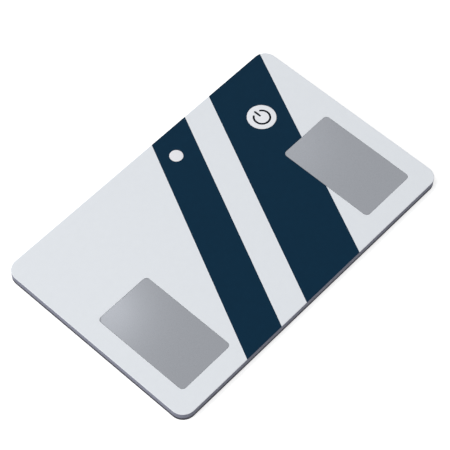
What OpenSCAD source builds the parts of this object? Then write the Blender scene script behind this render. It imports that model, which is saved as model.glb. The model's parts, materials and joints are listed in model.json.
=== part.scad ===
// Pocket ECG monitor in the shape of a bank card: two steel touch plates for the
// thumbs, a power key over a snap dome, a status lens over an LED, and a thin
// circuit board and pouch cell closed between a moulded housing and a back cover.
// The card lies on its back: +X is its length, +Y its width, +Z its thickness.
// The origin is the middle of the back face. All sizes are in millimetres.

/* [Card] */
// Length of the card
card_length = 85.6; // [80:0.1:95]
// Width of the card
card_width = 53.98; // [52:0.01:62]
// Corner radius, seen from the front
corner_radius = 3.18; // [2.5:0.01:4.5]
// Radius of the lower outer edge
back_edge_radius = 0.2; // [0.1:0.05:0.4]
// Radius of the upper outer edge
front_edge_radius = 0.12; // [0.05:0.01:0.15]

/* [Back cover] */
// Thickness of the floor
floor_thickness = 0.45; // [0.4:0.05:0.8]
// Height of the outer rim above the floor, up to the seam
rim_height = 0.45; // [0.2:0.05:0.6]
// Width of the outer rim
rim_width = 0.8; // [0.6:0.1:1]
// Gap between the rim and the housing's skirt
skirt_gap = 0.05; // [0.03:0.01:0.1]

/* [Housing] */
// Thickness of the side wall
wall = 1.8; // [1.5:0.1:2.4]
// Thickness of the web below the front panel
web = 0.4; // [0.3:0.05:0.8]
// Thickness of the ribs
rib = 0.8; // [0.5:0.1:1]
// Ribs along each touch plate's length
long_ribs = 3; // [2:1:5]
// Ribs across each touch plate
cross_ribs = 4; // [2:1:6]
// Radius of the pins that locate the circuit board
pin_radius = 0.7; // [0.5:0.05:0.9]
// Gap between a pin and its hole
pin_gap = 0.06; // [0.03:0.01:0.15]

/* [Front panel] */
// Thickness of the front panel
panel_thickness = 0.25; // [0.2:0.01:0.4]
// Thickness of the adhesive film below it
film_thickness = 0.05; // [0.04:0.01:0.1]
// Depth of the printed ink
ink_depth = 0.03; // [0.02:0.01:0.05]
// Gap between the panel and what stands in its openings
window_gap = 0.03; // [0.02:0.01:0.1]
// Width of the left stripe
left_stripe = 10; // [6:0.5:12]
// Width of the right stripe
right_stripe = 16; // [12:0.5:18]
// Gap between the left stripe and the lower corner of the left plate
stripe_gap = 2; // [0.5:0.1:5]
// Shift of the left stripe from the lens, along the card's length
left_stripe_shift = 0.8; // [-2:0.1:2]
// Shift of the right stripe from the key, along the card's length
right_stripe_shift = -1.6; // [-3:0.1:3]

/* [Touch plates] */
// Width of a plate along the card's length
plate_width = 15.1; // [12:0.1:17]
// Length of a plate along the card's width
plate_length = 25.2; // [20:0.1:27]
// Thickness of a plate
plate_thickness = 0.2; // [0.1:0.01:0.22]
// Corner radius of a plate
plate_radius = 1; // [0.6:0.1:2]
// Distance of a plate from the card's end and from its long edge
plate_margin = 4.95; // [4:0.05:6]

/* [Power key] */
// Radius of the key
key_radius = 3.48; // [3:0.01:4]
// Distance of the key's axis from the card's right end
key_from_end = 15.64; // [13:0.01:17]
// Distance of the key's axis from the card's upper edge
key_from_edge = 13.12; // [12:0.01:14]
// Gap round the key
key_gap = 0.06; // [0.04:0.01:0.1]
// Width of the flange that keeps the key below the panel
key_flange = 0.7; // [0.5:0.05:1]
// Thickness of that flange
key_flange_thickness = 0.2; // [0.15:0.01:0.3]
// Travel of the key
key_travel = 0.25; // [0.1:0.01:0.28]
// Radius of the pusher below the key
pusher_radius = 1; // [0.6:0.05:1.4]
// Mean radius of the ring of the power sign
sign_radius = 1.94; // [1.5:0.01:2.2]
// Line width of the power sign
sign_line = 0.5; // [0.2:0.01:0.6]
// Angle from the sign's bar to each end of its ring
sign_opening = 35; // [25:1:50]

/* [Status light] */
// Radius of the lens
lens_radius = 1.62; // [1.2:0.01:2]
// Distance of the lens from the middle of the card
lens_offset = 5.4; // [3:0.1:8]
// Distance of the lens from the card's upper edge
lens_from_edge = 6.27; // [5.5:0.01:7.5]

/* [Circuit board] */
// Thickness of the board
board_thickness = 0.4; // [0.3:0.05:0.8]
// Depth of the board, across the card
board_depth = 17; // [15.5:0.1:18]
// Gap between the board and the housing's wall
board_gap = 0.3; // [0.2:0.05:0.6]
// Corner radius of the board, and of the housing's inside
board_radius = 1; // [0.5:0.1:1.2]
// Thickness of the tape below the board and the cell
tape_thickness = 0.1; // [0.05:0.01:0.2]
// Width of the two ears that reach below the touch plates
ear_width = 8; // [6:0.5:9]
// Reach of the ears below the touch plates
ear_reach = 6; // [5:0.5:8]
// Height of the tallest chip
chip_height = 0.8; // [0.7:0.05:1.2]
// Free height above the tallest chip
head_gap = 0.05; // [0.03:0.01:0.2]

/* [Snap dome] */
// Radius of the dome
dome_radius = 2.5; // [2:0.1:2.8]
// Height that is left of the dome when the key is pressed
dome_rest = 0.1; // [0.08:0.01:0.2]
// Thickness of the dome's sheet
dome_sheet = 0.06; // [0.04:0.01:0.1]

/* [Cell] */
// Length of the pouch cell, along the card
cell_length = 36; // [30:0.5:38]
// Width of the pouch cell, with its sealed edge
cell_width = 27; // [22:0.5:28]
// Width of the cell's sealed edge
cell_seal = 3; // [2:0.5:5]

/* [Hidden] */
$fn = 96;

// A cut runs this far past the face that it opens
past = 0.5;
// Features of one piece run this far into each other
merge = 0.1;

// Heights of the stack, from the back face up
floor_top = floor_thickness;
seam_z = floor_top + rim_height;
board_z = floor_top + tape_thickness;
board_top = board_z + board_thickness;
web_z = board_top + chip_height + head_gap;
housing_top = web_z + web;
panel_z = housing_top + film_thickness;
card_thickness = panel_z + panel_thickness;
plate_z = card_thickness - plate_thickness;

// Plan positions, from the middle of the card
inner_x = card_length / 2 - wall;
inner_y = card_width / 2 - wall;
plate_x = card_length / 2 - plate_margin - plate_width / 2;
plate_y = plate_margin + plate_length / 2 - card_width / 2;
plate_upper = plate_y + plate_length / 2;
key_at = [card_length / 2 - key_from_end, card_width / 2 - key_from_edge];
lens_at = [lens_offset, card_width / 2 - lens_from_edge];

// Lean of both stripes: the left one runs from the lens past the plate's lower corner
stripe_top = lens_at + [left_stripe_shift, 0];
stripe_way = stripe_top - [plate_width / 2 - plate_x, plate_y - plate_length / 2];
stripe_angle = atan2(stripe_way[1], stripe_way[0])
             + asin((left_stripe / 2 + stripe_gap) / norm(stripe_way));

// Key, below the panel
flange_gap = 0.02;
flange_side_gap = 0.15;
flange_top = panel_z - flange_gap;
flange_z = flange_top - key_flange_thickness;
flange_radius = key_radius + key_flange;
key_bore = flange_radius + flange_side_gap;
collar_radius = key_bore + rib;
dome_height = key_travel + dome_rest;
dome_top = board_top + dome_height;
dome_side_gap = 0.1;
dome_flat = 0.375;
dome_frame_height = 0.17;
pusher_gap = 0.02;
pusher_z = dome_top + pusher_gap;

// Power sign, from the key's axis: its ring lies a little low, and its bar high
ring_drop = 0.1;
bar_low = 0.55;
bar_high = 2.1;

// Lens: a window in the panel, a flange below it, and a pipe down to the LED
lens_flange = 0.6;
lens_ledge = 0.15;
lens_step = 0.4;
lens_flange_z = web_z + lens_ledge;
lens_flange_radius = lens_radius + lens_flange;
lens_pipe_radius = lens_radius - lens_step;
led_size = [1.6, 0.8, 0.6];
led_gap = 0.05;
lens_z = board_top + led_size[2] + led_gap;

// The film stops this far inside the card's edge
film_inset = 0.4;

// Board, and the pins that hold it
board_x = inner_x - board_gap;
board_upper = inner_y - board_gap;
board_lower = board_upper - board_depth;
board_mid = (board_upper + board_lower) / 2;
ear_lower = plate_upper - ear_reach;
pin_inset = 2.2;
tape_inset = 0.4;
tape_gap = 0.18;
low_pin_x = 15.5;
pins = [[-board_x + pin_inset, board_upper - pin_inset],
        [board_x - pin_inset, board_upper - pin_inset],
        [-low_pin_x, board_lower + pin_inset],
        [low_pin_x, board_lower + pin_inset]];

// Springs that carry the plates' signals to the board
spring_sheet = 0.12;
spring_width = 2.2;
spring_arm = 2;
spring_height = plate_z - board_top;
spring_from_edge = 3;
spring_y = plate_upper - spring_from_edge;
spring_gap = 0.4;

// Chips: middle in plan from the board's middle, and size
radio_size = [6, 6, chip_height];
radio_at = [-6, 0];
amplifier_size = [4, 4, chip_height - 0.05];
amplifier_at = [-17, 0];
regulator_size = [3, 3, chip_height - 0.05];
regulator_at = [8.5, -3];
inductor_size = [2.5, 2, chip_height];
inductor_at = [12.6, -3];
crystal_size = [3.2, 2.5, chip_height - 0.1];
crystal_at = [1.2, -2.5];
antenna_size = [7, 2, chip_height - 0.1];
antenna_from_end = 7.5;
antenna_from_edge = 3.5;
capacitor_size = [1, 0.5, 0.5];
resistor_size = [1, 0.5, 0.35];
diode_size = [1.6, 0.8, 0.6];
diode_from_spring = 2.6;
part_pitch = 1.1;
part_from_chip = 1.2;
capacitor_shift = 2;

// Cell and its bay
cell_margin = 2.2;
cell_body = cell_width - cell_seal;
cell_lower = cell_margin - inner_y;
cell_upper = cell_lower + cell_width;
cell_mid = cell_lower + cell_body / 2;
cell_radius = 1.5;
cell_z = floor_top + tape_thickness;
cell_height = web_z - head_gap - cell_z;
tab_sheet = 0.1;
seal_height = 3 * tab_sheet;
tab_width = 3;
tab_x = 6;
tab_reach = 2.6;
tab_head_gap = 0.2;
bay_gap = 1.6;
bay_wall_x = cell_length / 2 + bay_gap;
stop_gap = 0.2;
stop_length = 4;
stop_top = board_top - tab_sheet - stop_gap / 2;

// ---------------------------------------------------------------- plan shapes

// Rectangle with round corners, centred
module round_rect(l, w, r) {
    square([l - 2 * r, w], center = true);
    square([l, w - 2 * r], center = true);
    for (x = [-1, 1], y = [-1, 1])
        translate([x * (l / 2 - r), y * (w / 2 - r)]) circle(r);
}

module card_outline(inset = 0) {
    round_rect(card_length - 2 * inset, card_width - 2 * inset, corner_radius - inset);
}

// Section through one side of a slab: from the middle of the corner out to the
// edge, with the upper edge rounded
module edge_section(reach, h, edge) {
    square([reach - edge, h]);
    square([reach, h - edge]);
    translate([reach - edge, h - edge]) circle(edge);
}

// The card's outline as a slab whose upper outer edge is rounded
module soft_slab(h, edge) {
    straight_x = card_length / 2 - corner_radius;
    straight_y = card_width / 2 - corner_radius;
    for (side = [0, 180]) rotate([0, 0, side]) {
        rotate([90, 0, 0]) linear_extrude(2 * straight_y, center = true)
            edge_section(card_length / 2, h, edge);
        rotate([90, 0, 90]) linear_extrude(2 * straight_x, center = true)
            edge_section(card_width / 2, h, edge);
        translate([straight_x, straight_y, 0])
            rotate_extrude(angle = 90) edge_section(corner_radius, h, edge);
        translate([-straight_x, straight_y, 0]) rotate([0, 0, 90])
            rotate_extrude(angle = 90) edge_section(corner_radius, h, edge);
    }
}

// One stripe: a band through a point, leaning over the whole card
module stripe(at, width) {
    translate(at) rotate([0, 0, stripe_angle])
        square([2 * card_length, width], center = true);
}

module stripes() {
    stripe(stripe_top, left_stripe);
    stripe(key_at + [right_stripe_shift, 0], right_stripe);
}

// What stands in the panel: both plates, the key and the lens, each with its gap
module panel_windows() {
    for (side = [-1, 1]) translate([side * plate_x, plate_y])
        round_rect(plate_width + 2 * window_gap, plate_length + 2 * window_gap,
                   plate_radius + window_gap);
    translate(key_at) circle(key_radius + key_gap);
    translate(lens_at) circle(lens_radius + window_gap);
}

// The board: a strip with two ears
module board_plan(grow = 0) {
    translate([0, board_mid])
        round_rect(2 * (board_x + grow), board_depth + 2 * grow, board_radius + grow);
    for (side = [-1, 1]) translate([side * plate_x, (ear_lower + board_mid) / 2])
        square([ear_width + 2 * grow, board_mid - ear_lower + 2 * grow], center = true);
}

// Opening for a contact spring
module spring_window() {
    translate([-spring_width / 2 - spring_gap, -spring_height / 2 - spring_gap])
        square([spring_width + 2 * spring_gap,
                spring_height / 2 + spring_arm + 2 * spring_gap]);
}

// ---------------------------------------------------------------- casing

module back_cover() {
    color([0.25, 0.26, 0.30]) {
        difference() {
            translate([0, 0, seam_z]) mirror([0, 0, 1])
                soft_slab(seam_z, back_edge_radius);
            translate([0, 0, floor_top]) linear_extrude(rim_height + past)
                card_outline(rim_width);
        }
        cell_stops();
    }
}

// Four low corners that keep the cell in place, under its sealed edge
module cell_stops() {
    for (x = [-1, 1], y = [-1, 1])
        translate([x * (cell_length / 2 + stop_gap),
                   cell_mid + y * (cell_body / 2 + stop_gap), floor_top - merge])
            mirror([x > 0 ? 0 : 1, 0, 0]) mirror([0, y > 0 ? 0 : 1, 0]) {
                translate([0, -stop_length, 0])
                    cube([rib, stop_length + rib, stop_top - floor_top + merge]);
                translate([-stop_length, 0, 0])
                    cube([stop_length + rib, rib, stop_top - floor_top + merge]);
            }
}

module housing() {
    color([0.50, 0.51, 0.57]) difference() {
        union() {
            housing_shell();
            plate_ribs();
            bay_walls();
            translate([key_at[0], key_at[1], board_top])
                cylinder(h = web_z - board_top + merge, r = collar_radius);
            for (at = pins) translate([at[0], at[1], floor_top])
                cylinder(h = web_z - floor_top + merge, r = pin_radius);
        }
        translate([key_at[0], key_at[1], board_top - past])
            cylinder(h = housing_top - board_top + 2 * past, r = key_bore);
        lens_seat();
        for (side = [-1, 1]) translate([side * plate_x, spring_y, web_z - past])
            linear_extrude(web + 2 * past) spring_window();
    }
}

// Side wall and web, with a skirt that drops inside the back cover's rim
module housing_shell() {
    difference() {
        union() {
            translate([0, 0, seam_z]) linear_extrude(housing_top - seam_z)
                card_outline();
            translate([0, 0, floor_top]) linear_extrude(rim_height + merge)
                card_outline(rim_width + skirt_gap);
        }
        translate([0, 0, floor_top - past]) linear_extrude(web_z - floor_top + past)
            round_rect(2 * inner_x, 2 * inner_y, board_radius);
    }
}

// A grid of ribs under each plate, which carries the press of a thumb. It keeps
// clear of the board's ears.
module plate_ribs() {
    low = plate_y - plate_length / 2;
    span = ear_lower - board_gap - low;
    for (side = [-1, 1]) translate([side * plate_x, 0, floor_top]) {
        for (i = [0 : long_ribs - 1]) {
            x = -plate_width / 2 + i * plate_width / (long_ribs - 1);
            translate([x - rib / 2, low, 0]) cube([rib, span, web_z - floor_top + merge]);
        }
        for (i = [0 : cross_ribs - 1]) {
            y = low + i * (span - rib) / (cross_ribs - 1);
            translate([-plate_width / 2, y, 0])
                cube([plate_width, rib, web_z - floor_top + merge]);
        }
    }
}

// Walls on both sides of the cell, and a bar between the cell and the board that
// leaves room for the cell's tabs
module bay_walls() {
    upper = board_lower - board_gap;
    bar_z = board_top + tab_sheet + tab_head_gap;
    for (side = [-1, 1])
        translate([side * (bay_wall_x + rib / 2) - rib / 2, -inner_y - merge, floor_top])
            cube([rib, upper + inner_y + merge, web_z - floor_top + merge]);
    translate([-bay_wall_x - merge, upper - rib, bar_z])
        cube([2 * (bay_wall_x + merge), rib, web_z - bar_z + merge]);
}

// Stepped hole: the lens's flange rests on the ledge
module lens_seat() {
    translate([lens_at[0], lens_at[1], lens_flange_z])
        cylinder(h = web + past, r = lens_flange_radius + window_gap);
    translate([lens_at[0], lens_at[1], web_z - past])
        cylinder(h = web + past, r = lens_pipe_radius + window_gap);
}

// ---------------------------------------------------------------- front

module front_film() {
    color([0.80, 0.82, 0.84]) translate([0, 0, housing_top]) linear_extrude(film_thickness)
        difference() {
            card_outline(film_inset);
            panel_windows();
            translate(key_at) circle(key_bore);
            translate(lens_at) circle(lens_flange_radius + window_gap);
        }
}

// The panel is the housing's colour, and shows it along the card's edge. Its face
// is let in by the ink's depth, so that the print ends where the edge rounds off.
module front_panel() {
    color([0.50, 0.51, 0.57]) difference() {
        translate([0, 0, panel_z]) soft_slab(panel_thickness, front_edge_radius);
        translate([0, 0, panel_z - past]) linear_extrude(panel_thickness + 2 * past)
            panel_windows();
        translate([0, 0, card_thickness - ink_depth]) linear_extrude(ink_depth + past)
            card_outline(front_edge_radius);
    }
}

// The white ink covers the face, apart from the stripes
module face_print() {
    color([0.88, 0.89, 0.91]) translate([0, 0, card_thickness - ink_depth])
        linear_extrude(ink_depth) difference() {
            card_outline(front_edge_radius);
            stripes();
            panel_windows();
        }
}

module stripe_print() {
    color([0.09, 0.18, 0.26]) translate([0, 0, card_thickness - ink_depth])
        linear_extrude(ink_depth) difference() {
            intersection() {
                card_outline(front_edge_radius);
                stripes();
            }
            panel_windows();
        }
}

module touch_plate(side) {
    color([0.62, 0.63, 0.65]) translate([side * plate_x, plate_y, plate_z])
        linear_extrude(plate_thickness) round_rect(plate_width, plate_length, plate_radius);
}

// Adhesive between a plate and the housing, open round the contact spring
module plate_pad(side) {
    color([0.75, 0.72, 0.62]) translate([side * plate_x, 0, housing_top])
        linear_extrude(plate_z - housing_top) difference() {
            translate([0, plate_y]) round_rect(plate_width, plate_length, plate_radius);
            translate([0, spring_y]) spring_window();
        }
}

// Bent strip: a flat base on the board, half a turn, and a flat arm that bears on
// the underside of the plate
module contact_spring(side) {
    bend = spring_height / 2;
    color([0.85, 0.70, 0.35]) translate([side * plate_x, spring_y, board_top])
        rotate([90, 0, 90]) linear_extrude(spring_width, center = true) {
            square([spring_arm, spring_sheet]);
            translate([0, spring_height - spring_sheet]) square([spring_arm, spring_sheet]);
            translate([0, bend]) difference() {
                circle(bend);
                circle(bend - spring_sheet);
                translate([0, -2 * bend]) square(4 * bend);
            }
        }
}

module status_lens() {
    color([0.92, 0.92, 0.93]) translate([lens_at[0], lens_at[1], 0]) {
        translate([0, 0, panel_z - merge])
            cylinder(h = panel_thickness + merge, r = lens_radius);
        translate([0, 0, lens_flange_z])
            cylinder(h = panel_z - lens_flange_z, r = lens_flange_radius);
        translate([0, 0, lens_z])
            cylinder(h = lens_flange_z - lens_z + merge, r = lens_pipe_radius);
    }
}

// ---------------------------------------------------------------- power key

// Cap that fills the panel's hole, with a flange that stops below the panel. The
// sign is let into its face.
module power_key() {
    color([0.90, 0.90, 0.91]) translate([key_at[0], key_at[1], 0]) difference() {
        union() {
            translate([0, 0, flange_z])
                cylinder(h = card_thickness - flange_z, r = key_radius);
            translate([0, 0, flange_z]) cylinder(h = key_flange_thickness, r = flange_radius);
        }
        translate([0, 0, card_thickness - ink_depth]) linear_extrude(ink_depth + past)
            sign_plan();
    }
}

module key_pusher() {
    color([0.30, 0.30, 0.32]) translate([key_at[0], key_at[1], pusher_z])
        cylinder(h = flange_z - pusher_z, r = pusher_radius);
}

// Standard power sign: an open ring and a bar, both with round ends
module sign_plan() {
    wedge = 3 * sign_radius * [sin(sign_opening), cos(sign_opening)];
    translate([0, -ring_drop]) {
        difference() {
            circle(sign_radius + sign_line / 2);
            circle(sign_radius - sign_line / 2);
            polygon([[0, 0], wedge, [-wedge[0], wedge[1]]]);
        }
        for (side = [-1, 1])
            translate(sign_radius * [side * sin(sign_opening), cos(sign_opening)])
                circle(sign_line / 2);
    }
    translate([-sign_line / 2, bar_low]) square([sign_line, bar_high - bar_low]);
    for (y = [bar_low, bar_high]) translate([0, y]) circle(sign_line / 2);
}

module power_sign() {
    color([0.09, 0.13, 0.19])
        translate([key_at[0], key_at[1], card_thickness - ink_depth])
            linear_extrude(ink_depth) sign_plan();
}

// Shallow cap of a sphere with four flats, so that it stands on four feet
module snap_dome() {
    ball = (dome_radius * dome_radius + dome_height * dome_height) / (2 * dome_height);
    trim = 2 * (dome_radius - dome_flat);
    color([0.78, 0.78, 0.80]) translate([key_at[0], key_at[1], dome_top - ball])
        intersection() {
            difference() {
                sphere(ball);
                sphere(ball - dome_sheet);
            }
            translate([-trim / 2, -trim / 2, ball - dome_height])
                cube([trim, trim, dome_height + past]);
        }
}

// Thin frame that keeps the dome in its place on the board
module dome_frame() {
    color([0.85, 0.65, 0.25]) translate([key_at[0], key_at[1], board_top])
        linear_extrude(dome_frame_height) difference() {
            circle(key_bore - dome_side_gap);
            circle(dome_radius + dome_side_gap);
        }
}

// ---------------------------------------------------------------- board

module circuit_board() {
    color([0.08, 0.32, 0.22]) translate([0, 0, board_z]) linear_extrude(board_thickness)
        difference() {
            board_plan();
            for (at = pins) translate(at) circle(pin_radius + pin_gap);
        }
}

module board_tape() {
    color([0.80, 0.55, 0.20]) translate([0, 0, floor_top]) linear_extrude(tape_thickness)
        difference() {
            board_plan(-tape_inset);
            for (at = pins) translate(at) circle(pin_radius + tape_gap);
        }
}

// A chip on the board: middle in plan from the board's middle, and size
module chip(at, size) {
    translate([at[0] - size[0] / 2, board_mid + at[1] - size[1] / 2, board_top]) cube(size);
}

module radio_chip() {
    color([0.12, 0.12, 0.13]) chip(radio_at, radio_size);
}

module amplifier_chip() {
    color([0.12, 0.12, 0.13]) chip(amplifier_at, amplifier_size);
}

module regulator_chip() {
    color([0.12, 0.12, 0.13]) chip(regulator_at, regulator_size);
}

module power_inductor() {
    color([0.28, 0.27, 0.27]) chip(inductor_at, inductor_size);
}

module timing_crystal() {
    color([0.75, 0.76, 0.78]) chip(crystal_at, crystal_size);
}

module chip_antenna() {
    color([0.90, 0.88, 0.80])
        chip([-board_x + antenna_from_end, board_upper - board_mid - antenna_from_edge],
             antenna_size);
}

// Two columns of capacitors, one on each side of the radio chip
module capacitors() {
    color([0.72, 0.58, 0.42])
        for (side = [-1, 1], row = [-2 : 2])
            chip(radio_at + [side * (radio_size[0] / 2 + part_from_chip),
                             row * part_pitch + capacitor_shift], capacitor_size);
}

module resistors() {
    color([0.15, 0.15, 0.17])
        for (side = [-1, 1], row = [-1 : 1])
            chip(amplifier_at + [side * (amplifier_size[0] / 2 + part_from_chip),
                                 row * part_pitch], resistor_size);
}

// One surge diode on each ear, beside its spring
module surge_diodes() {
    color([0.12, 0.12, 0.13])
        for (side = [-1, 1])
            chip([side * (plate_x - diode_from_spring), spring_y - board_mid], diode_size);
}

module status_led() {
    color([0.95, 0.93, 0.80]) {
        translate([lens_at[0] - led_size[0] / 2, lens_at[1] - led_size[1] / 2, board_top])
            cube([led_size[0], led_size[1], led_size[2] / 2]);
        translate([lens_at[0] - led_size[0] / 4, lens_at[1] - led_size[1] / 2,
                   board_top + led_size[2] / 2])
            cube([led_size[0] / 2, led_size[1], led_size[2] / 2]);
    }
}

// ---------------------------------------------------------------- cell

// Pouch with one thin sealed edge, from which the tabs come out
module pouch_cell() {
    color([0.70, 0.72, 0.75]) {
        translate([0, cell_mid, cell_z]) linear_extrude(cell_height)
            round_rect(cell_length, cell_body, cell_radius);
        translate([-cell_length / 2 + cell_radius, cell_upper - cell_seal - merge,
                   board_top - tab_sheet])
            cube([cell_length - 2 * cell_radius, cell_seal + merge, seal_height]);
    }
}

module cell_tabs() {
    color([0.80, 0.80, 0.78])
        for (side = [-1, 1]) translate([side * tab_x - tab_width / 2, cell_upper, board_top])
            cube([tab_width, board_lower + tab_reach - cell_upper, tab_sheet]);
}

module cell_tape() {
    color([0.85, 0.85, 0.85]) translate([0, cell_mid, floor_top])
        linear_extrude(tape_thickness)
            square([cell_length - 2 * cell_radius, cell_body - 2 * cell_radius], center = true);
}

back_cover();
housing();
front_film();
front_panel();
face_print();
stripe_print();
power_key();
key_pusher();
power_sign();
status_lens();
touch_plate(-1);  // left_plate
touch_plate(1);  // right_plate
plate_pad(-1);  // left_plate_pad
plate_pad(1);  // right_plate_pad
contact_spring(-1);  // left_contact_spring
contact_spring(1);  // right_contact_spring
circuit_board();
board_tape();
snap_dome();
dome_frame();
status_led();
radio_chip();
amplifier_chip();
regulator_chip();
power_inductor();
timing_crystal();
chip_antenna();
capacitors();
resistors();
surge_diodes();
pouch_cell();
cell_tabs();
cell_tape();
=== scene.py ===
"""Looks of a card-shaped ECG monitor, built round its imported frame.

Everything is in metres. The card lies on its back at z = 0, its face looks up along +Z,
+X is its length and +Y its width. Each visible CAD node is replaced by a finer mesh of
the same size, and the pieces inside the card keep their own meshes.
"""

import json
import math
from collections import namedtuple

import bmesh
import bpy
from mathutils import Matrix, Vector
from mathutils.geometry import tessellate_polygon


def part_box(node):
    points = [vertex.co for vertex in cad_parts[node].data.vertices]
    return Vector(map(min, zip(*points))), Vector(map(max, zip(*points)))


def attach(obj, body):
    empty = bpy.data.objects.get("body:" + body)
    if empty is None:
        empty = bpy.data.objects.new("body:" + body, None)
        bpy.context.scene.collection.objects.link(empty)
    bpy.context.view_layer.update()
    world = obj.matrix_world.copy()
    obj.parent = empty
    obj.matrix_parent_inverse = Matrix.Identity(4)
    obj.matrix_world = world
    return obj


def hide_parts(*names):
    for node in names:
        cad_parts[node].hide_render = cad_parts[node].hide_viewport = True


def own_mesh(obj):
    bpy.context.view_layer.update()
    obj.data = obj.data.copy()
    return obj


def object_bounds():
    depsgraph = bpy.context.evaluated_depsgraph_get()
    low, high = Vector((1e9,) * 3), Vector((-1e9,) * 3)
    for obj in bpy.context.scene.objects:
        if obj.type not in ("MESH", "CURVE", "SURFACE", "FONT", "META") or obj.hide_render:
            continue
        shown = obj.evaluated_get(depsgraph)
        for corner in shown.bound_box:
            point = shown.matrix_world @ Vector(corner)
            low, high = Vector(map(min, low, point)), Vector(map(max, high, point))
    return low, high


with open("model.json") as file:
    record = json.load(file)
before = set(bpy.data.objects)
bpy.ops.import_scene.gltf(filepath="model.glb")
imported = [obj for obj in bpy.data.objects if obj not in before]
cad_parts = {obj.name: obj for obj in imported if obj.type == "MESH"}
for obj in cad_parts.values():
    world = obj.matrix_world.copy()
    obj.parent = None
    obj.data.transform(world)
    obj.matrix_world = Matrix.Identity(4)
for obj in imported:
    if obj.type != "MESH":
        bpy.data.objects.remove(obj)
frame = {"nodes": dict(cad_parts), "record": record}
cad_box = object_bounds()

# ---------------------------------------------------------------- sizes

MM = 0.001
MICRON = MM / 1000
QUARTER_TURN = math.radians(90)

# Plan of the card, and the heights of its layers
LOW, HIGH = cad_box
LENGTH = HIGH.x - LOW.x
WIDTH = HIGH.y - LOW.y
CORNER = 3.18 * MM
FLOOR_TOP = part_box("cell_tape")[0].z
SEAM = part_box("back_cover")[1].z
HOUSING_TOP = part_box("housing")[1].z
PANEL_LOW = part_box("front_panel")[0].z
INK_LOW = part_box("face_print")[0].z
FACE = HIGH.z

# Radii of the round edges, breaks of the edges at the seam, and the casing's walls
BACK_EDGE = 0.2 * MM
FRONT_EDGE = 0.12 * MM
PLATE_EDGE = 0.03 * MM
KEY_EDGE = 0.06 * MM
SEAM_BREAK = 0.04 * MM
RIM = 0.8 * MM
SKIN = 0.3 * MM

# The ink ends at this turn round the front edge, and is let in this far from the side
INK_END = math.radians(30)
INK_STEP = 0.05 * MM

# Printed stripes: the node that each passes, its shift along the card, and its width
Stripe = namedtuple("Stripe", "node shift width")
LEFT_STRIPE = Stripe("status_lens", 0.8 * MM, 10 * MM)
RIGHT_STRIPE = Stripe("power_key", -1.6 * MM, 16 * MM)
STRIPES = (LEFT_STRIPE, RIGHT_STRIPE)
STRIPE_GAP = 2 * MM

# Plates, and the gap round what stands in the panel
PLATE_CORNER = 1 * MM
WINDOW_GAP = 0.03 * MM

# Key, and the power sign in it
KEY_RADIUS = 3.48 * MM
KEY_GAP = 0.06 * MM
FLANGE_GAP = 0.02 * MM
SIGN_RADIUS = 1.94 * MM
SIGN_LINE = 0.5 * MM
SIGN_OPENING = math.radians(35)
RING_DROP = 0.1 * MM
BAR_LOW = 0.55 * MM
BAR_HIGH = 2.1 * MM

# Lens
LENS_RADIUS = 1.62 * MM
LENS_CROWN = 0.04 * MM
LENS_STEP = 0.4 * MM
LENS_FLANGE_DEPTH = 0.3 * MM

# Steps along a corner, a circle, a round end of the sign, a round edge and the lens's crown
ARC_STEPS = 24
CIRCLE_STEPS = 96
END_STEPS = 16
FILLET_STEPS = 6
CROWN_STEPS = 10

# Points closer than this become one, and edges that turn by more than this stay sharp
WELD = 0.1 * MICRON
SHARP = math.radians(35)

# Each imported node's lowest and highest corners
BOXES = {node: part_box(node) for node in frame["nodes"]}


def middle(node):
    low, high = BOXES[node]
    return (low + high) / 2


def stripe_middle(stripe):
    """A point on a stripe's middle line."""
    return middle(stripe.node) + Vector((stripe.shift, 0, 0))


def stripe_lean():
    """The angle of both stripes: the left one clears the left plate's lower corner."""
    low, high = BOXES["left_plate"]
    way = stripe_middle(LEFT_STRIPE) - Vector((high.x, low.y, 0))
    reach = math.hypot(way.x, way.y)
    return math.atan2(way.y, way.x) + math.asin((LEFT_STRIPE.width / 2 + STRIPE_GAP) / reach)


STRIPE_ANGLE = stripe_lean()
ACROSS_STRIPES = Vector((math.sin(STRIPE_ANGLE), -math.cos(STRIPE_ANGLE), 0))


# ---------------------------------------------------------------- outlines


def polar(centre, radius, turn):
    return (centre[0] + radius * math.cos(turn), centre[1] + radius * math.sin(turn))


def arc(centre, radius, start, end, steps):
    turns = [start + (end - start) * step / steps for step in range(steps + 1)]
    return [polar(centre, radius, turn) for turn in turns]


def circle(centre, radius):
    return arc(centre, radius, 0, 2 * math.pi, CIRCLE_STEPS)[:-1]


def rounded(length, width, radius, inset=0.0, centre=(0, 0)):
    """A rectangle with round corners, drawn in by inset, as points anticlockwise."""
    points = []
    for quarter, (sx, sy) in enumerate(((1, 1), (-1, 1), (-1, -1), (1, -1))):
        hub = (centre[0] + sx * (length / 2 - radius), centre[1] + sy * (width / 2 - radius))
        start = quarter * QUARTER_TURN
        points += arc(hub, radius - inset, start, start + QUARTER_TURN, ARC_STEPS)
    return points


def card(inset=0.0):
    return rounded(LENGTH, WIDTH, CORNER, inset)


def plate_outline(node, inset=0.0):
    low, high = BOXES[node]
    return rounded(high.x - low.x, high.y - low.y, PLATE_CORNER, inset, middle(node)[:2])


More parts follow.
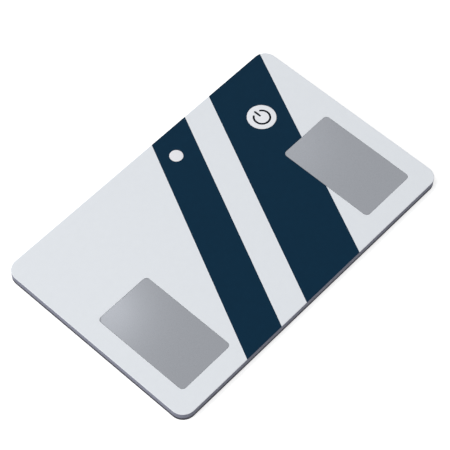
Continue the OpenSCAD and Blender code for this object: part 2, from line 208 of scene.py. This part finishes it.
def sign_outlines(centre):
    """The power sign: an open ring and a bar, both with round ends."""
    half = SIGN_LINE / 2
    start = QUARTER_TURN + SIGN_OPENING
    end = QUARTER_TURN - SIGN_OPENING + 2 * math.pi
    hub = (centre[0], centre[1] - RING_DROP)
    first = polar(hub, SIGN_RADIUS, start)
    last = polar(hub, SIGN_RADIUS, end)
    ring = arc(hub, SIGN_RADIUS + half, start, end, CIRCLE_STEPS)
    ring += arc(last, half, end, end + math.pi, END_STEPS)[1:-1]
    ring += arc(hub, SIGN_RADIUS - half, end, start, CIRCLE_STEPS)
    ring += arc(first, half, start + math.pi, start + 2 * math.pi, END_STEPS)[1:-1]
    low = (centre[0], centre[1] + BAR_LOW)
    high = (centre[0], centre[1] + BAR_HIGH)
    bar = arc(high, half, 0, math.pi, END_STEPS) + arc(low, half, math.pi, 2 * math.pi, END_STEPS)
    return [ring, bar]


def fillet(radius, start=0.0, end=QUARTER_TURN):
    """(inset, drop) pairs round an edge, from the side at no turn up to the face."""
    turns = [start + (end - start) * step / FILLET_STEPS for step in range(FILLET_STEPS + 1)]
    return [(radius * (1 - math.cos(a)), radius * (1 - math.sin(a))) for a in turns]


def round_top(outline, top, radius, **turns):
    """Rings round an upper edge, for an outline that takes an inset."""
    return [(outline(inset), top - drop) for inset, drop in fillet(radius, **turns)]


# ---------------------------------------------------------------- meshes


def weld(mesh):
    bmesh.ops.remove_doubles(mesh, verts=mesh.verts, dist=WELD)


def walls(mesh, rings):
    """Joins rings of equally many points, each (points, z)."""
    rows = [[mesh.verts.new((x, y, z)) for x, y in points] for points, z in rings]
    for lower, upper in zip(rows, rows[1:]):
        for i in range(len(lower)):
            j = (i + 1) % len(lower)
            mesh.faces.new((lower[i], lower[j], upper[j], upper[i]))


def lid(mesh, z, outer, holes=()):
    """Flat, well-shaped triangles that fill an outline at a height, around any holes."""
    loops = [outer, *holes]
    verts = [mesh.verts.new((x, y, z)) for loop in loops for x, y in loop]
    flat = [[Vector((x, y, 0)) for x, y in loop] for loop in loops]
    faces = [mesh.faces.new([verts[i] for i in corners]) for corners in tessellate_polygon(flat)]
    edges = dict.fromkeys(edge for face in faces for edge in face.edges)
    inner = [edge for edge in edges if len(edge.link_faces) == 2]
    bmesh.ops.beautify_fill(mesh, faces=faces, edges=inner)


def sweep(mesh, rings):
    """A solid through rings, with a lid on its first and on its last ring."""
    walls(mesh, rings)
    for points, z in (rings[0], rings[-1]):
        lid(mesh, z, points)


def finish_piece(name, mesh, body, slot, *replaced):
    """Turns a bmesh into a piece of the object, smooth but for its sharp edges."""
    weld(mesh)
    bmesh.ops.recalc_face_normals(mesh, faces=mesh.faces)
    data = bpy.data.meshes.new(name)
    mesh.to_mesh(data)
    mesh.free()
    data.shade_smooth()
    data.set_sharp_from_angle(angle=SHARP)
    data.materials.append(MATERIALS[slot])
    piece = bpy.data.objects.new(name, data)
    bpy.context.scene.collection.objects.link(piece)
    weighted = piece.modifiers.new("weighted_normals", "WEIGHTED_NORMAL")
    weighted.keep_sharp = True
    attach(piece, body)
    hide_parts(*replaced)
    return piece


# ---------------------------------------------------------------- materials

# Each material slot's material
MATERIALS = {}

# Noise lies mostly between these values
NOISE_LOW = 0.3
NOISE_HIGH = 0.7

# The change of colour is this many times as broad as the grain, and the roughness
# varies by this much either way
BROAD = 12
ROUGH_VARIES = 0.05

# The touch plates: bead-blasted stainless steel
PLATE_COLOUR = (153, 156, 162)
PLATE_VARIES = 0.04
PLATE_GRAIN = 0.16 * MM
PLATE_RELIEF = 1.5 * MICRON
PLATE_ROUGH_LOW = 0.18
PLATE_ROUGH_HIGH = 0.22


def new_material(name):
    material = bpy.data.materials.new(name)
    material.use_nodes = True
    tree = material.node_tree
    return material, tree, tree.nodes["Principled BSDF"]


def linear(red, green, blue):
    """The scene colour of an 8-bit display colour, by the sRGB curve."""
    channels = []
    for value in (red / 255, green / 255, blue / 255):
        channels.append(value / 12.92 if value <= 0.04045 else ((value + 0.055) / 1.055) ** 2.4)
    return tuple(channels)


def noise(tree, size, detail=2.0):
    """Noise in object space, with features of about the given size in metres."""
    place = tree.nodes.new("ShaderNodeTexCoord")
    texture = tree.nodes.new("ShaderNodeTexNoise")
    texture.inputs["Scale"].default_value = 1 / size
    texture.inputs["Detail"].default_value = detail
    tree.links.new(place.outputs["Object"], texture.inputs["Vector"])
    return texture.outputs["Fac"]


def spread(tree, value, low, high):
    """Spreads noise over a range."""
    node = tree.nodes.new("ShaderNodeMapRange")
    node.inputs["From Min"].default_value = NOISE_LOW
    node.inputs["From Max"].default_value = NOISE_HIGH
    node.inputs["To Min"].default_value = low
    node.inputs["To Max"].default_value = high
    tree.links.new(value, node.inputs["Value"])
    return node.outputs["Result"]


def vary(tree, shader, value, colour, amount):
    """Lets the base colour vary with noise, by a share of itself either way."""
    ramp = tree.nodes.new("ShaderNodeValToRGB")
    ends = ramp.color_ramp.elements
    ends[0].position = NOISE_LOW
    ends[1].position = NOISE_HIGH
    ends[0].color = (*(c * (1 - amount) for c in colour), 1)
    ends[1].color = (*(c * (1 + amount) for c in colour), 1)
    tree.links.new(value, ramp.inputs["Fac"])
    tree.links.new(ramp.outputs["Color"], shader.inputs["Base Color"])


def relief(tree, shader, height, depth):
    node = tree.nodes.new("ShaderNodeBump")
    node.inputs["Distance"].default_value = depth
    tree.links.new(height, node.inputs["Height"])
    tree.links.new(node.outputs["Normal"], shader.inputs["Normal"])


def surface(name, colour, rough, grain, depth, vary_by=0.03, metal=0.0, gloss=0.5):
    """A display colour that changes softly, over a finer relief and roughness, with the
    grain in millimetres and the depth in thousandths of one.
    """
    material, tree, shader = new_material(name)
    fine = noise(tree, grain * MM, detail=3.0)
    vary(tree, shader, noise(tree, grain * MM * BROAD), linear(*colour), vary_by)
    rough_range = spread(tree, fine, rough - ROUGH_VARIES, rough + ROUGH_VARIES)
    tree.links.new(rough_range, shader.inputs["Roughness"])
    shader.inputs["Metallic"].default_value = metal
    shader.inputs["Specular IOR Level"].default_value = gloss
    relief(tree, shader, fine, depth * MICRON)
    MATERIALS[name] = material


def blasted_steel(name):
    """A soft, even satin with a faint speckle."""
    material, tree, shader = new_material(name)
    speckle = noise(tree, PLATE_GRAIN, detail=4.0)
    vary(tree, shader, speckle, linear(*PLATE_COLOUR), PLATE_VARIES)
    rough_range = spread(tree, speckle, PLATE_ROUGH_LOW, PLATE_ROUGH_HIGH)
    tree.links.new(rough_range, shader.inputs["Roughness"])
    shader.inputs["Metallic"].default_value = 1.0
    relief(tree, shader, speckle, PLATE_RELIEF)
    MATERIALS[name] = material


# Seen from outside
surface("panel_white", (226, 230, 235), rough=0.5, grain=0.12, depth=1.5, vary_by=0.006, gloss=0.2)
surface("ink_navy", (10, 42, 63), rough=0.5, grain=0.12, depth=1.5, gloss=0.06)
surface("sign_ink", (8, 16, 28), rough=0.5, grain=0.12, depth=1.5, gloss=0.06)
surface("housing_grey", (125, 127, 142), rough=0.55, grain=0.1, depth=5, gloss=0.1)
surface("cover_grey", (60, 61, 70), rough=0.6, grain=0.14, depth=8, gloss=0.1)
surface("key_white", (232, 234, 239), rough=0.5, grain=0.12, depth=1.5, vary_by=0.006, gloss=0.2)
surface("lens_white", (232, 232, 236), rough=0.3, grain=0.2, depth=0.5, vary_by=0.006, gloss=0.3)
blasted_steel("plate_steel")

# Inside the card
surface("pusher_black", (50, 50, 54), rough=0.7, grain=0.1, depth=3)
surface("adhesive", (205, 200, 188), rough=0.5, grain=0.2, depth=3)
surface("spring_gold", (216, 178, 96), rough=0.3, grain=0.1, depth=1, metal=1.0)
surface("board_green", (24, 92, 62), rough=0.35, grain=0.3, depth=2, vary_by=0.1)
surface("tape_amber", (196, 130, 52), rough=0.4, grain=0.3, depth=2, vary_by=0.08)
surface("dome_steel", (200, 200, 203), rough=0.25, grain=0.1, depth=1, metal=1.0)
surface("chip_black", (38, 38, 41), rough=0.5, grain=0.08, depth=3)
surface("inductor_grey", (70, 68, 68), rough=0.7, grain=0.08, depth=4)
surface("crystal_can", (196, 198, 202), rough=0.3, grain=0.1, depth=1, metal=1.0)
surface("antenna_ceramic", (222, 214, 196), rough=0.5, grain=0.1, depth=2)
surface("capacitor_tan", (178, 142, 104), rough=0.4, grain=0.08, depth=2)
surface("led_body", (238, 230, 196), rough=0.2, grain=0.1, depth=1)
surface("cell_foil", (184, 188, 194), rough=0.35, grain=0.5, depth=10, metal=1.0)
surface("tab_nickel", (206, 204, 198), rough=0.35, grain=0.2, depth=2, metal=1.0)

for part in frame["record"]["subparts"]:
    cad_mesh = frame["nodes"][part["node"]].data
    cad_mesh.materials.clear()
    cad_mesh.materials.append(MATERIALS[part["material_slot"]])


# ---------------------------------------------------------------- casing


def make_cover():
    """Back cover: a shallow tray, with a round lower edge and its rim broken at the seam."""
    mesh = bmesh.new()
    rings = [(card(RIM), FLOOR_TOP), (card(RIM), SEAM)]
    rings += [(card(SEAM_BREAK), SEAM), (card(), SEAM - SEAM_BREAK)]
    rings += [(card(inset), drop) for inset, drop in fillet(BACK_EDGE)]
    sweep(mesh, rings)
    finish_piece("cover_shell", mesh, "card", "cover_grey", "back_cover")


def draw_in(mesh):
    """Moves what lies on the card's outline in by the wall's skin."""
    reach_x = LENGTH / 2 - CORNER
    reach_y = WIDTH / 2 - CORNER
    for vert in mesh.verts:
        x = max(-reach_x, min(reach_x, vert.co.x))
        y = max(-reach_y, min(reach_y, vert.co.y))
        out = Vector((vert.co.x - x, vert.co.y - y))
        if out.length > CORNER - SKIN:
            out *= (CORNER - SKIN) / out.length
            vert.co.x = x + out.x
            vert.co.y = y + out.y


def make_housing():
    """Outer wall of the housing, with both edges broken, over its ribs and inner walls."""
    mesh = bmesh.new()
    rings = [(card(SKIN), SEAM), (card(SEAM_BREAK), SEAM), (card(), SEAM + SEAM_BREAK)]
    rings += [(card(), HOUSING_TOP - SEAM_BREAK), (card(SEAM_BREAK), HOUSING_TOP)]
    rings += [(card(SKIN), HOUSING_TOP), rings[0]]
    walls(mesh, rings)
    finish_piece("housing_wall", mesh, "card", "housing_grey", "housing")
    mesh = bmesh.new()
    mesh.from_mesh(frame["nodes"]["housing"].data)
    weld(mesh)
    draw_in(mesh)
    finish_piece("housing_core", mesh, "card", "housing_grey", "housing")


def windows():
    """The panel's openings: both plates, the key and the lens, each with its gap."""
    loops = [plate_outline(node, -WINDOW_GAP) for node in ("left_plate", "right_plate")]
    loops.append(circle(middle("power_key"), KEY_RADIUS + KEY_GAP))
    loops.append(circle(middle("status_lens"), LENS_RADIUS + WINDOW_GAP))
    return loops


def make_panel():
    """The panel's rim, up to where the ink starts on its round edge, and its pierced sheet."""
    mesh = bmesh.new()
    edge = round_top(card, FACE, FRONT_EDGE, end=INK_END)
    rings = [(card(SKIN), PANEL_LOW), (card(), PANEL_LOW), *edge]
    rings += [(card(INK_STEP), edge[-1][1]), (card(INK_STEP), INK_LOW), (card(SKIN), INK_LOW)]
    walls(mesh, rings)
    for loop in windows():
        walls(mesh, [(loop, PANEL_LOW), (loop, INK_LOW)])
    for z in (PANEL_LOW, INK_LOW):
        lid(mesh, z, card(SKIN), windows())
    finish_piece("panel_sheet", mesh, "card", "housing_grey", "front_panel")


def in_stripe(stripe, point):
    return abs((point - stripe_middle(stripe)).dot(ACROSS_STRIPES)) < stripe.width / 2


def ink_sheet():
    """All the ink as one sheet, which runs down over the upper part of the round edge."""
    mesh = bmesh.new()
    edge = round_top(card, FACE, FRONT_EDGE, start=INK_END)
    walls(mesh, [(card(INK_STEP), INK_LOW), (card(INK_STEP), edge[0][1]), *edge])
    for loop in windows():
        walls(mesh, [(loop, INK_LOW), (loop, FACE)])
    lid(mesh, INK_LOW, card(INK_STEP), windows())
    lid(mesh, FACE, card(FRONT_EDGE), windows())
    weld(mesh)
    return mesh


def make_print(name, slot, node, striped):
    """The face's white ink or its stripes, cut from the same sheet so that they meet."""
    mesh = ink_sheet()
    for stripe in STRIPES:
        for side in (-1, 1):
            at = stripe_middle(stripe) + ACROSS_STRIPES * side * stripe.width / 2
            cut = {"plane_co": at, "plane_no": ACROSS_STRIPES, "dist": WELD}
            bmesh.ops.bisect_plane(mesh, geom=[*mesh.verts, *mesh.edges, *mesh.faces], **cut)
    waste = []
    for face in mesh.faces:
        inside = any(in_stripe(stripe, face.calc_center_median()) for stripe in STRIPES)
        if inside != striped:
            waste.append(face)
    bmesh.ops.delete(mesh, geom=waste, context="FACES")
    bmesh.ops.holes_fill(mesh, edges=[e for e in mesh.edges if e.is_boundary], sides=0)
    finish_piece(name, mesh, "card", slot, node)


def make_plate(name, node):
    """A touch plate: a flat sheet with a softened upper edge."""
    low, high = BOXES[node]

    def outline(inset=0.0):
        return plate_outline(node, inset)

    mesh = bmesh.new()
    sweep(mesh, [(outline(), low.z), *round_top(outline, high.z, PLATE_EDGE)])
    finish_piece(name, mesh, "card", "plate_steel", node)


def make_lens():
    """Status lens: a flange, a pipe down to the lamp, and a slightly crowned face."""
    low, high = BOXES["status_lens"]
    centre = middle("status_lens")
    flange = (high.x - low.x) / 2
    flange_low = PANEL_LOW - LENS_FLANGE_DEPTH
    pipe = LENS_RADIUS - LENS_STEP
    mesh = bmesh.new()
    rings = [(circle(centre, pipe), low.z), (circle(centre, pipe), flange_low)]
    rings += [(circle(centre, flange), flange_low), (circle(centre, flange), PANEL_LOW)]
    rings += [(circle(centre, LENS_RADIUS), PANEL_LOW)]
    for step in range(CROWN_STEPS):
        turn = QUARTER_TURN * step / CROWN_STEPS
        drop = LENS_CROWN * (1 - math.sin(turn))
        rings.append((circle(centre, LENS_RADIUS * math.cos(turn)), FACE - drop))
    sweep(mesh, rings)
    finish_piece("lens", mesh, "card", "lens_white", "status_lens")


def make_key():
    """Power key: a cap with a flange below the panel, and the sign let into its face."""
    low, high = BOXES["power_key"]
    centre = middle("power_key")
    flange = (high.x - low.x) / 2
    flange_top = PANEL_LOW - FLANGE_GAP
    signs = sign_outlines(centre)

    def outline(inset=0.0):
        return circle(centre, KEY_RADIUS - inset)

    mesh = bmesh.new()
    rings = [(circle(centre, flange), low.z), (circle(centre, flange), flange_top)]
    rings += [(outline(), flange_top), *round_top(outline, FACE, KEY_EDGE)]
    walls(mesh, rings)
    lid(mesh, low.z, circle(centre, flange))
    lid(mesh, FACE, outline(KEY_EDGE), signs)
    for sign in signs:
        walls(mesh, [(sign, INK_LOW), (sign, FACE)])
        lid(mesh, INK_LOW, sign)
    finish_piece("key_cap", mesh, "key", "key_white", "power_key")
    mesh = bmesh.new()
    for sign in signs:
        sweep(mesh, [(sign, INK_LOW), (sign, FACE)])
    finish_piece("key_sign", mesh, "key", "sign_ink", "power_sign")


def make_dome():
    """Snap dome under the key, as a piece with its own copy of the imported mesh."""
    mesh = bmesh.new()
    mesh.from_mesh(frame["nodes"]["snap_dome"].data)
    dome = finish_piece("dome_shell", mesh, "card", "dome_steel", "snap_dome")
    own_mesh(dome)


make_cover()
make_housing()
make_panel()
make_print("white_print", "panel_white", "face_print", striped=False)
make_print("navy_print", "ink_navy", "stripe_print", striped=True)
make_plate("left_touch_plate", "left_plate")
make_plate("right_touch_plate", "right_plate")
make_lens()
make_key()
make_dome()


# ---------------------------------------------------------------- floor and light

# Share of the plain light level that comes evenly from the sky
SKY = 0.45

# The floor: its half width, its grey, the glow that makes it plain white where it is
# seen, and the hair's breadth by which it clears the card
FLOOR_REACH = 3.0
FLOOR_GREY = 0.72
FLOOR_GLOW = 0.62
FLOOR_DROP = 0.02 * MM


def seen_directly(tree):
    """1 for a ray from the camera, a mirror or a glass, and 0 for scattered light."""
    path = tree.nodes.new("ShaderNodeLightPath")
    total = path.outputs["Is Camera Ray"]
    for name in ("Is Glossy Ray", "Is Transmission Ray"):
        join = tree.nodes.new("ShaderNodeMath")
        join.operation = "MAXIMUM"
        tree.links.new(total, join.inputs[0])
        tree.links.new(path.outputs[name], join.inputs[1])
        total = join.outputs[0]
    return total


def make_floor():
    """A plain white floor, which still takes the card's shadow."""
    mesh = bpy.data.meshes.new("floor")
    signs = ((-1, -1), (1, -1), (1, 1), (-1, 1))
    corners = [(FLOOR_REACH * x, FLOOR_REACH * y, -FLOOR_DROP) for x, y in signs]
    mesh.from_pydata(corners, [], [(0, 1, 2, 3)])
    floor = bpy.data.objects.new("floor", mesh)
    bpy.context.scene.collection.objects.link(floor)
    material, tree, shader = new_material("floor_white")
    shader.inputs["Base Color"].default_value = (FLOOR_GREY, FLOOR_GREY, FLOOR_GREY, 1)
    shader.inputs["Roughness"].default_value = 1.0
    shader.inputs["Specular IOR Level"].default_value = 0.0
    shader.inputs["Emission Color"].default_value = (1, 1, 1, 1)
    glow = tree.nodes.new("ShaderNodeMath")
    glow.operation = "MULTIPLY"
    glow.inputs[1].default_value = FLOOR_GLOW
    tree.links.new(seen_directly(tree), glow.inputs[0])
    tree.links.new(glow.outputs[0], shader.inputs["Emission Strength"])
    mesh.materials.append(material)


def make_sky():
    """An even white sky: dimmer as a light than as what a camera or a mirror sees."""
    world = bpy.data.worlds.new("sky")
    bpy.context.scene.world = world
    world.use_nodes = True
    tree = world.node_tree
    background = tree.nodes["Background"]
    background.inputs["Color"].default_value = (1, 1, 1, 1)
    strength = tree.nodes.new("ShaderNodeMapRange")
    strength.inputs["To Min"].default_value = SKY
    strength.inputs["To Max"].default_value = 1.0
    tree.links.new(seen_directly(tree), strength.inputs["Value"])
    tree.links.new(strength.outputs["Result"], background.inputs["Strength"])


def soft_box(name, azimuth, elevation, size, share, distance=1.2, aim=(0, 0, 0), mirrored=False):
    """A square lamp that faces a point, and gives a level white surface there its share
    of the plain light level.

    The object's gloss shows only a mirrored lamp, so that no plate turns white.
    """
    azimuth = math.radians(azimuth)
    elevation = math.radians(elevation)
    level = math.cos(elevation)
    way = Vector((level * math.cos(azimuth), level * math.sin(azimuth), math.sin(elevation)))
    data = bpy.data.lights.new(name, "AREA")
    data.size = size
    data.energy = share * (math.pi * distance) ** 2 / math.sin(elevation)
    lamp = bpy.data.objects.new(name, data)
    bpy.context.scene.collection.objects.link(lamp)
    lamp.location = Vector(aim) + way * distance
    lamp.rotation_euler = way.to_track_quat("Z", "Y").to_euler()
    lamp.visible_glossy = mirrored


make_floor()
make_sky()
soft_box("left_box", azimuth=170, elevation=35, size=0.7, share=0.3)
soft_box("back_box", azimuth=110, elevation=60, size=0.7, share=0.25)

# Small lamps near the card, whose blurred reflections lighten one end of each plate
soft_box("left_glint", azimuth=47.9, elevation=59.6, size=0.012, share=0.0031,
         distance=0.2, aim=(-34.3 * MM, 3.5 * MM, FACE), mirrored=True)
soft_box("right_glint", azimuth=37.1, elevation=54.2, size=0.015, share=0.0009,
         distance=0.25, aim=(26.3 * MM, 2.6 * MM, FACE), mirrored=True)

# ---------------------------------------------------------------- camera

# The photograph's view: where the camera looks on the face, from how far and which
# side, how far the picture is rolled, and the focal length and sensor width in mm
AIM = Vector((-0.93 * MM, -0.3 * MM, FACE))
AIM_DISTANCE = 395.5 * MM
AZIMUTH = math.radians(-49.22)
ELEVATION = math.radians(56.87)
ROLL = math.radians(2.12)
LENS = 141.1
SENSOR = 36


def make_camera():
    level = math.cos(ELEVATION)
    back = Vector((math.sin(AZIMUTH) * level, -math.cos(AZIMUTH) * level, math.sin(ELEVATION)))
    data = bpy.data.cameras.new("camera")
    data.lens = LENS
    data.sensor_width = SENSOR
    data.clip_start = 10 * MM
    data.clip_end = 100
    camera = bpy.data.objects.new("camera", data)
    bpy.context.scene.collection.objects.link(camera)
    turn = back.to_track_quat("Z", "Y").to_matrix() @ Matrix.Rotation(ROLL, 3, "Z")
    camera.matrix_world = Matrix.Translation(AIM + back * AIM_DISTANCE) @ turn.to_4x4()
    bpy.context.scene.camera = camera


make_camera()
bpy.context.scene.view_settings.view_transform = "Standard"

bpy.context.view_layer.update()
